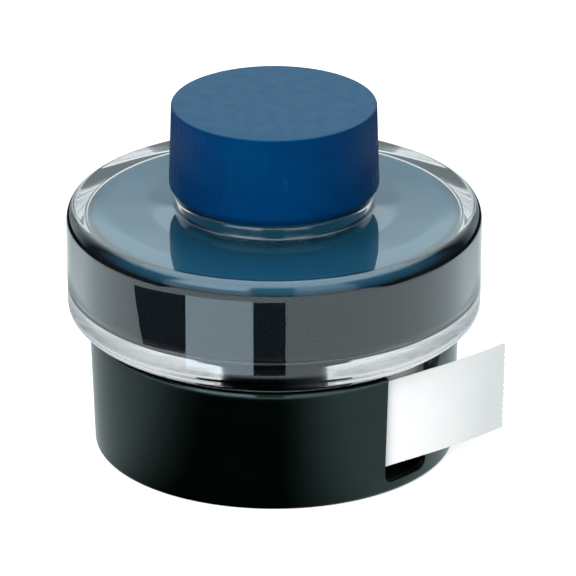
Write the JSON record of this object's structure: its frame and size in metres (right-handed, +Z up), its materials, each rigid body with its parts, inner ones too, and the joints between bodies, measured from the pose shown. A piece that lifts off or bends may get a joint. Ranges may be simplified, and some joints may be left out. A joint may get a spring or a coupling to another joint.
{
  "type": "ink bottle",
  "caption": "Round glass ink bottle with a screw cap, standing on a plastic base that dispenses a roll of blotting tape through a side slot.",
  "frame": {"origin": "centre of the base's underside, on the bottle's axis", "axes": "+Z up along the bottle's axis; the tape leaves the base on the side that faces -Y and is pulled along +X"},
  "size_m": [0.0712, 0.0712, 0.0619],
  "materials": {
    "clear_glass": "clear, thick, polished soda-lime glass",
    "ink": "dark blue-black liquid with a glossy surface",
    "blue_plastic": "satin moulded plastic with fine upright flutes",
    "liner_foam": "soft matte sealing disc",
    "black_plastic": "satin moulded plastic",
    "grey_card": "rolled grey-brown card",
    "white_paper": "uncoated absorbent white paper"
  },
  "bodies": {
    "base": {"base_housing": "black_plastic"},
    "bottle": {"glass_bottle": "clear_glass", "ink": "ink"},
    "cap_seal": {"cap_liner": "liner_foam"},
    "cap": {"screw_cap": "blue_plastic"},
    "roll": {"roll_core": "grey_card", "paper_roll": "white_paper"},
    "tape": {"paper_strip": "white_paper"}
  },
  "joints": [
    {"name": "bottle_lift", "type": "slide", "parent": "base", "child": "bottle", "axis": [0, 0, 1], "range_m": [0, 0.03]},
    {"name": "cap_rise", "type": "slide", "parent": "bottle", "child": "cap_seal", "axis": [0, 0, 1], "range_m": [0, 0.01301]},
    {"name": "cap_turn", "type": "hinge", "parent": "cap_seal", "child": "cap", "pos_m": [0, 0, 0.0463], "axis": [0, 0, 1], "range_deg": [0, 1170]},
    {"name": "roll_turn", "type": "hinge", "parent": "base", "child": "roll", "pos_m": [0, 0, 0.0125], "axis": [0, 0, 1], "range_deg": [0, 23.7]},
    {"name": "tape_pull", "type": "slide", "parent": "base", "child": "tape", "axis": [1, 0, 0], "range_m": [0, 0.012]}
  ],
  "couplings": [
    {"joint": "cap_rise", "follows": "cap_turn", "m_per_rad": 0.00063662},
    {"joint": "tape_pull", "follows": "roll_turn", "m_per_rad": 0.0289}
  ]
}
